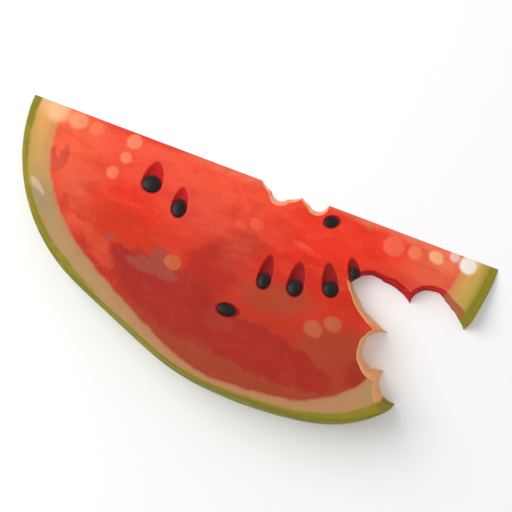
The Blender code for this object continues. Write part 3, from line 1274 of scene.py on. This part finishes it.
class MelonFinish:
    """The cut melon: ripe flesh with painted shade that darkens it outwards, tan rind, olive skin, and bitten
    walls painted as lit and as shaded.

    Its paints share some signals. Five are places in millimetres: along the sharp edge, out from it, under
    the skin, under the rind's inner side and within the olive line. Five are 1 on what they are named after,
    and three are noises from 0 to 1.
    """

    subsurface = 0.12
    granule = 0.0011

    def __init__(self, edge_y: float) -> None:
        """Start the material's tree and the signals that its paints share."""
        graph = self.graph = ShaderGraph("cut_melon")
        across = edge_y - graph.y
        self.out = (across * across + graph.z * graph.z).root() * (1.0 / MM)
        self.along = graph.x * (1.0 / MM)
        self.skin_depth, self.under_rind, self.olive_line = (
            graph.attribute(name) * (1.0 / MM) for name in ("skin_depth", "under_rind", "olive_line")
        )
        self.upper, self.on_skin, self.pocket, self.pale_wall, self.shaded_wall = (
            graph.attribute(name) for name in ("upper_face", "rind_side", "pocket", "pale_wall", "shaded_wall")
        )
        self.broad = graph.noise(0.030, 3.0, 0.55)
        self.middling = graph.noise(0.009, 3.0, 0.6)
        self.fine = graph.noise(0.0022, 3.0, 0.6)
        flat = graph.node("ShaderNodeCombineXYZ", {}, {"X": self.along, "Y": self.out, "Z": 0.0})
        self.place = flat.outputs["Vector"]

    def material(self) -> bpy.types.Material:
        """Build the melon's material.

        Returns:
            The material.
        """
        graph, middling, fine = self.graph, self.middling, self.fine
        on_skin, pocket = self.on_skin, self.pocket
        colour = self.rind(self.pockets(self.walls(self.flesh())))
        colour = self.patched(colour, GLINTS, self.ragged_place(2.2))
        colour = colour.over((0.55, 0.05, 0.02), (fine - 0.5).step(0.06, 0.30) * 0.10, "MULTIPLY")
        wet = self.upper * (1.0 - self.under_rind.step(1.5, -0.5)) * 0.10
        roughness = 0.46 + (middling - 0.5) * 0.22 - wet + pocket * 0.40
        height = graph.cells(self.granule) * 0.55 + fine * 0.6 + middling * 1.3
        return graph.finish(
            Base_Color=self.skin(colour),
            Roughness=roughness + (self.pale_wall + self.shaded_wall) * 0.35 + on_skin * 0.30,
            Subsurface_Weight=self.subsurface,
            Subsurface_Radius=(1.0, 0.28, 0.14),
            Subsurface_Scale=0.003,
            Specular_IOR_Level=0.22,
            Normal=graph.bump(height * (1.0 - on_skin * 0.7 - pocket * 0.5), 0.55, 0.00042),
        )

    def ragged_place(self, reach: float) -> Socket:
        """Push places on the cut face about with a swirling noise, so that patches get uneven rims.

        Args:
            reach: How far the noise pushes, in millimetres.

        Returns:
            Vector socket with the pushed place, its third number zero.
        """
        graph, vector = self.graph, "ShaderNodeVectorMath"
        inputs = {"Vector": self.place, "Scale": 0.11, "Detail": 2.5, "Roughness": 0.6}
        swirl = graph.node("ShaderNodeTexNoise", {"noise_dimensions": "2D"}, inputs).outputs["Color"]
        push = graph.node(vector, {"operation": "SUBTRACT"}, {0: swirl, 1: (0.5, 0.5, 0.5)}).outputs["Vector"]
        inputs = {0: push, 1: (reach, reach, 0.0), 2: self.place}
        return graph.node(vector, {"operation": "MULTIPLY_ADD"}, inputs).outputs["Vector"]

    def patched(self, colour: Paint, patches: Sequence[Patch], place: Socket) -> Paint:
        """Lay soft ovals over a colour, on the upper cut face only.

        Args:
            colour: The colour under them.
            patches: The ovals, lowest first.
            place: Vector socket with the place along the sharp edge and the distance from it.

        Returns:
            The colour.
        """
        for patch in patches:
            inputs = {
                "Vector": place,
                "Location": (patch.along, patch.out, 0.0),
                "Rotation": (0.0, 0.0, math.radians(patch.turn)),
                "Scale": (patch.half_along, patch.half_out, 1.0),
            }
            own = self.graph.node("ShaderNodeMapping", {"vector_type": "TEXTURE"}, inputs).outputs["Vector"]
            length = self.graph.node("ShaderNodeVectorMath", {"operation": "LENGTH"}, {0: own})
            distance = Signal(self.graph, length.outputs["Value"])
            mask = distance.step(1.0 + patch.softness / 2.0, 1.0 - patch.softness / 2.0)
            colour = colour.over(patch.colour, mask * patch.strength * self.upper)
        return colour

    def flesh(self) -> Paint:
        """Paint the ripe flesh: painted shade that darkens it in steps away from the sharp edge, then patches
        of its own tone, painted shade and painted highlights, and strokes.

        Returns:
            The colour.
        """
        wander = self.out + (self.broad - 0.5) * 16.0 + (self.middling - 0.5) * 5.0
        # Painted shade: each coat is darker and lies further from the sharp edge, nearer the rind.
        bands = self.graph.paint(251, 93, 68).coats(
            (240, 74, 52, wander.step(10.0, 34.0)),
            (222, 66, 46, wander.step(34.0, 58.0)),
            (196, 60, 42, wander.step(56.0, 82.0)),
            (171, 72, 50, wander.step(84.0, 106.0)),
        )
        strokes = self.graph.noise(0.0085, 2.0, 0.5, (0.55, 1.3, 1.0))
        firm = 1.0 - self.out.step(42.0, 66.0) * 0.75
        return self.patched(bands, FLESH_TONE_SHADE_AND_GLINTS, self.ragged_place(7.0)).coats(
            (250, 112, 84, strokes.step(0.54, 0.61) * firm * 0.13),
            (176, 40, 30, strokes.step(0.46, 0.39) * firm * 0.15),
        )

    def walls(self, colour: Paint) -> Paint:
        """Paint the bites' torn walls over the flesh: pale peach as painted light on the walls that face the
        sharp edge, crimson as painted shade on those that face the rind.

        Args:
            colour: The flesh.

        Returns:
            The colour.
        """
        # Painted light on the lit walls: a peach with paler and darker lumps. Painted shade on the others: a
        # crimson.
        peach = self.graph.paint(255, 166, 134).coats(
            (255, 188, 128, self.out.step(14.0, 40.0)),
            (255, 208, 160, self.middling.step(0.50, 0.66) * 0.8),
            (240, 132, 92, self.middling.step(0.44, 0.30) * 0.6),
        )
        crimson = self.graph.paint(216, 48, 46).coats((184, 34, 36, self.middling.step(0.40, 0.62)))
        return colour.over(peach, self.pale_wall * (0.82 + self.fine * 0.25)).over(crimson, self.shaded_wall)

    def pockets(self, colour: Paint) -> Paint:
        """Lay painted shade in the seeds' hollow pockets: crimson near the thin end, darker near the bite,
        with darker mottles.
        """
        near_bite = self.along.step(-20.0, 10.0)
        return colour.coats(
            (200, 36, 40, self.pocket * (1.0 - near_bite) * 0.95),
            (150, 34, 36, self.pocket * near_bite * 0.95),
            (120, 24, 26, self.pocket * self.fine.step(0.52, 0.70) * 0.35),
        )

    def rind(self, colour: Paint) -> Paint:
        """Paint the tan rind over the flesh, its blush next to the flesh, and its greener outer part, with
        painted shade that darkens it away from the sharp edge, a painted glint and shade at the thin end, and
        the bites' painted light and shade.

        Args:
            colour: The flesh.

        Returns:
            The colour.
        """
        out, depth = self.out, self.skin_depth
        edge = self.under_rind + (self.middling - 0.5) * 3.2
        thick_end = self.along.step(96.0, 116.0)
        tan = self.graph.paint(236, 168, 98).coats(
            # Painted shade: the tan darkens and dulls away from the sharp edge.
            (210, 164, 98, out.step(8.0, 32.0)),
            (187, 149, 104, out.step(32.0, 54.0)),
            (190, 142, 98, out.step(84.0, 110.0)),
            (220, 142, 92, edge.step(-6.5, -1.0) * (1.0 - out.step(30.0, 50.0)) * 0.7),
            (190, 130, 90, edge.step(-5.5, -1.0) * out.step(40.0, 60.0) * 0.5),
            (190, 162, 80, depth.step(8.5, 3.4) * 0.75 * (1.0 - out.step(50.0, 76.0))),
            (198, 172, 84, depth.step(17.0, 9.0) * thick_end * 0.75),
            (164, 150, 62, depth.step(10.0, 4.5) * thick_end * 0.9),
            (250, 214, 160, out.step(12.0, 2.0) * thick_end * depth.step(8.0, 14.0) * 0.7),
            (255, 206, 156, out.step(14.0, 2.0) * self.along.step(-105.0, -124.0) * 0.5),
        )
        # A painted glint and painted shade on the rind at the thin end, then the bites' walls where they
        # cross the rind: painted light, a peach, and painted shade, a brownish red.
        tan = self.patched(tan, RIND_GLINT_AND_SHADE, self.place).coats(
            (255, 184, 122, self.pale_wall * 0.85), (176, 84, 72, self.shaded_wall * 0.75),
        )
        return colour.over(tan, edge.step(1.0, -1.2))

    def skin(self, colour: Paint) -> Paint:
        """Paint the olive skin and the thin olive line that it shows as on the cut faces.

        Args:
            colour: The rind.

        Returns:
            The colour.
        """
        graph, middling = self.graph, self.middling
        stripes = graph.noise(0.016, 3.0, 0.6, (0.28, 1.0, 1.6)).step(0.46, 0.60)
        olive = graph.paint(146, 138, 44).coats(
            (126, 122, 38, stripes * 0.75),
            (166, 154, 72, middling.step(0.52, 0.70) * 0.55),
            (104, 104, 40, self.fine.step(0.56, 0.72) * 0.30),
            (172, 160, 84, self.along.size().step(112.0, 130.0) * 0.35),
        )
        leaf = graph.paint(152, 138, 46).coats((138, 130, 48, middling.step(0.44, 0.60) * 0.6))
        in_line = (self.olive_line + (middling - 0.5) * 1.8).step(-0.8, 1.0)
        return colour.over(leaf, in_line).over(olive, self.on_skin)


def seed_coat() -> bpy.types.Material:
    """Build the seeds' coat: near black, a little brown towards the tip, with a dull shine.

    Returns:
        The material.
    """
    graph = ShaderGraph("seed_coat")
    mottle = graph.noise(0.0012, 3.0, 0.6)
    pores = graph.noise(0.0003, 2.0, 0.5)
    colour = graph.paint(40, 34, 33).coats(
        (62, 44, 38, mottle.step(0.5, 0.7) * 0.7),
        (70, 46, 36, graph.attribute("towards_tip").step(0.80, 0.99) * 0.7),
    )
    return graph.finish(
        Base_Color=colour,
        Roughness=0.48 + (mottle - 0.5) * 0.25,
        Specular_IOR_Level=0.28,
        Normal=graph.bump(pores * 0.4 + mottle, 0.35, 0.00012),
    )


# --- Studio ---


@dataclass(frozen=True)
class Studio:
    """A pale floor, soft light from all round with a large soft lamp, and a camera straight overhead."""

    edge_y: float
    camera_height: float = 0.80
    camera_x: float = 0.0091
    camera_from_edge: float = 0.0421
    camera_turn: float = 20.7
    lens: float = 98.9
    sensor_width: float = 36.0
    floor_size: float = 6.0
    room_light: float = 0.68
    lamp_place: Colour = (-0.95, 0.25, 0.95)
    lamp_size: float = 1.2
    lamp_watts: float = 13.5

    def build(self) -> None:
        """Make the floor, the lights and the camera."""
        self.floor()
        self.lights()
        self.camera()

    def floor(self) -> None:
        """Lay a plain pale square under the wedge, with a faint mottling."""
        half = self.floor_size / 2.0
        points = np.array([[-half, -half, 0.0], [half, -half, 0.0], [half, half, 0.0], [-half, half, 0.0]])
        graph = ShaderGraph("studio_floor")
        cloud = graph.noise(0.25, 2.0, 0.5)
        paper = Paint(graph, (0.93,) * 3).over((0.91,) * 3, cloud)
        finish = graph.finish(Base_Color=paper, Roughness=0.9, Specular_IOR_Level=0.1)
        make_piece("studio_floor", points, np.arange(4), np.array([4]), {}, finish)

    def lights(self) -> None:
        """Light the room evenly and add one large soft lamp behind the sharp edge."""
        world = bpy.data.worlds.new("soft_room")
        world.use_nodes = True
        background = world.node_tree.nodes["Background"].inputs
        background["Color"].default_value = (1.0, 1.0, 1.0, 1.0)
        background["Strength"].default_value = self.room_light
        bpy.context.scene.world = world
        lamp = bpy.data.lights.new("soft_lamp", "AREA")
        lamp.shape = "DISK"
        lamp.size = self.lamp_size
        lamp.energy = self.lamp_watts
        holder = bpy.data.objects.new("soft_lamp", lamp)
        holder.location = self.lamp_place
        holder.rotation_euler = (-holder.location).to_track_quat("-Z", "Y").to_euler()
        bpy.context.scene.collection.objects.link(holder)

    def camera(self) -> None:
        """Hang the camera over the wedge, looking straight down and turned about its own axis."""
        lens = bpy.data.cameras.new("overhead_camera")
        lens.lens = self.lens
        lens.sensor_width = self.sensor_width
        holder = bpy.data.objects.new("overhead_camera", lens)
        holder.location = (self.camera_x, self.edge_y - self.camera_from_edge, self.camera_height)
        holder.rotation_euler = (0.0, 0.0, math.radians(self.camera_turn))
        bpy.context.scene.collection.objects.link(holder)
        bpy.context.scene.camera = holder


# --- The whole object ---


@dataclass
class BittenWedge:
    """The wedge with its seeds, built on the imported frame's own sizes."""

    edge_y: float
    angle: float
    pockets: list[SeedPocket] = field(init=False)

    def __post_init__(self) -> None:
        """Place every seed and its pocket in its cut face."""
        upper = CutFace(self.edge_y, self.angle, False)
        lower = CutFace(self.edge_y, 0.0, True)
        self.pockets = [self.pocket(place, upper) for place in FRONT_SEEDS]
        self.pockets += [self.pocket(place, lower) for place in BACK_SEEDS]

    def pocket(self, place: SeedPlace, face: CutFace) -> SeedPocket:
        """Put a seed's pocket round the middle of the seed's own solid."""
        low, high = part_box(place.node)
        return SeedPocket(place, face, (np.array(low) + np.array(high)) / 2.0)

    def build(self) -> list[bpy.types.Object]:
        """Build the melon and the seeds, and tie each to its body and node.

        Returns:
            The finished pieces.
        """
        wedge = Wedge(Melon(), self.edge_y, self.angle)
        spots = [
            JuiceSpot(*np.multiply((glint.along, glint.out, min(glint.half_along, glint.half_out)), MM))
            for glint in GLINTS
        ]
        skin = WedgeSkin(wedge, self.pockets, spots)
        melon = skin.build("bitten_melon", MelonFinish(self.edge_y).material())
        self.tie(melon, "melon_wedge")
        coat = seed_coat()
        seeds = []
        for pocket in self.pockets:
            node = pocket.place.node
            seed = Seed(pocket).build(node.replace("seed", "seed_shape"), coat)
            self.tie(seed, node)
            seeds.append(seed)
        return [melon, *seeds]

    def tie(self, piece: bpy.types.Object, node: str) -> None:
        """Make a piece ride on the body and stand in for its node, whose own part is hidden."""
        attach(piece, "root")
        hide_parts(node)


def main() -> None:
    """Build the wedge and its studio, and log each piece's number of faces."""
    logging.basicConfig(level=logging.INFO, format="%(name)s: %(message)s")
    low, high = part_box("melon_wedge")
    edge_y = float(high[1])
    depth = float(high[1] - low[1])
    angle = math.asin(float(high[2]) / depth)
    for piece in BittenWedge(edge_y, angle).build():
        LOG.info("%s: %d faces", piece.name, len(piece.data.polygons))
    Studio(edge_y).build()
    bpy.context.scene.view_settings.view_transform = "Standard"


if __name__ == "__main__":
    main()
